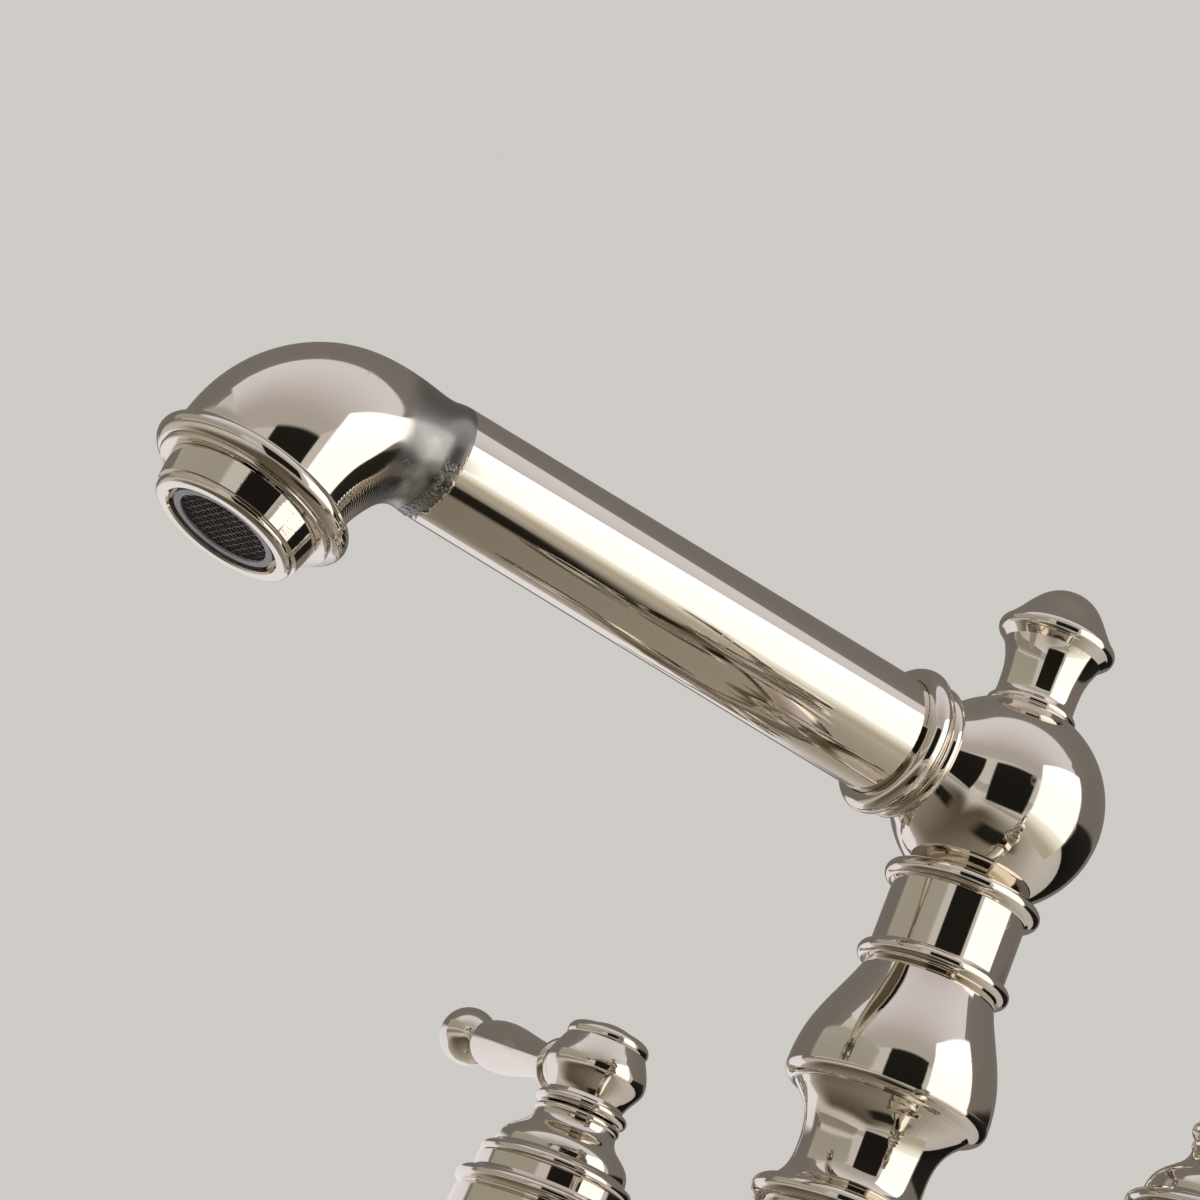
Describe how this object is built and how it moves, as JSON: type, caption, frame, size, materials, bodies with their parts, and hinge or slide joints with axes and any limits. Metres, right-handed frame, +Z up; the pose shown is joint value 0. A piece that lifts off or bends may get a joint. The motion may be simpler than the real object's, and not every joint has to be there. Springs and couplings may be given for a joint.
{
  "type": "bridge kitchen faucet",
  "caption": "Deck-mounted bridge faucet: turned columns with lever handles, a horizontal bridge, and a swivelling straight spout with a bent outlet, ball hub and finial.",
  "frame": {"origin": "on the sink deck, midway between the two deck holes", "axes": "+Z up, +X from the hot valve to the cold valve, -Y the way the spout points at rest, towards the user"},
  "size_m": [0.33, 0.2031, 0.271],
  "materials": {
    "polished_nickel": "polished nickel plate, warm mirror",
    "plain_brass": "machined, unplated",
    "steel": "stainless, plain",
    "black_rubber": "matt",
    "grey_plastic": "moulded satin",
    "nylon": "moulded",
    "white_ceramic": "lapped ceramic"
  },
  "bodies": {
    "fixed": {"swivel_nut": "polished_nickel", "riser_column": "polished_nickel", "bridge_tee": "polished_nickel", "hot_bridge_tube": "polished_nickel", "hot_union_nut": "polished_nickel", "hot_valve_body": "polished_nickel", "hot_bonnet": "polished_nickel", "hot_deck_flange": "polished_nickel", "hot_shank": "plain_brass", "hot_lock_nut": "plain_brass", "hot_cartridge_body": "plain_brass", "hot_mounting_washer": "steel", "hot_deck_gasket": "black_rubber", "hot_union_washer": "black_rubber", "hot_cartridge_seal": "black_rubber", "hot_fixed_disc": "white_ceramic", "cold_bridge_tube": "polished_nickel", "cold_union_nut": "polished_nickel", "cold_valve_body": "polished_nickel", "cold_bonnet": "polished_nickel", "cold_deck_flange": "polished_nickel", "cold_shank": "plain_brass", "cold_lock_nut": "plain_brass", "cold_cartridge_body": "plain_brass", "cold_mounting_washer": "steel", "cold_deck_gasket": "black_rubber", "cold_union_washer": "black_rubber", "cold_cartridge_seal": "black_rubber", "cold_fixed_disc": "white_ceramic", "upper_glide_ring": "nylon", "lower_glide_ring": "nylon"},
    "spout": {"aerator_shell": "polished_nickel", "aerator_insert": "grey_plastic", "aerator_screen": "steel", "flow_regulator": "grey_plastic", "aerator_gasket": "black_rubber", "spout_elbow": "polished_nickel", "spout_tube": "polished_nickel", "spout_ferrule": "polished_nickel", "spout_hub": "polished_nickel", "finial": "polished_nickel", "swivel_stem": "plain_brass", "upper_o_ring": "black_rubber", "lower_o_ring": "black_rubber"},
    "hot_handle": {"hot_handle_hub": "polished_nickel", "hot_handle_lever": "polished_nickel", "hot_handle_screw": "steel", "hot_index_button": "polished_nickel", "hot_valve_stem": "plain_brass", "hot_stem_o_ring": "black_rubber", "hot_moving_disc": "white_ceramic"},
    "cold_handle": {"cold_handle_hub": "polished_nickel", "cold_handle_lever": "polished_nickel", "cold_handle_screw": "steel", "cold_index_button": "polished_nickel", "cold_valve_stem": "plain_brass", "cold_stem_o_ring": "black_rubber", "cold_moving_disc": "white_ceramic"}
  },
  "joints": [
    {"name": "spout_swivel", "type": "hinge", "parent": "fixed", "child": "spout", "pos_m": [0, 0, 0.15], "axis": [0, 0, 1], "continuous": true},
    {"name": "hot_handle_turn", "type": "hinge", "parent": "fixed", "child": "hot_handle", "pos_m": [-0.1016, 0, 0.1], "axis": [0, 0, 1], "range_deg": [0, 90]},
    {"name": "cold_handle_turn", "type": "hinge", "parent": "fixed", "child": "cold_handle", "pos_m": [0.1016, 0, 0.1], "axis": [0, 0, 1], "range_deg": [-90, 0]}
  ]
}
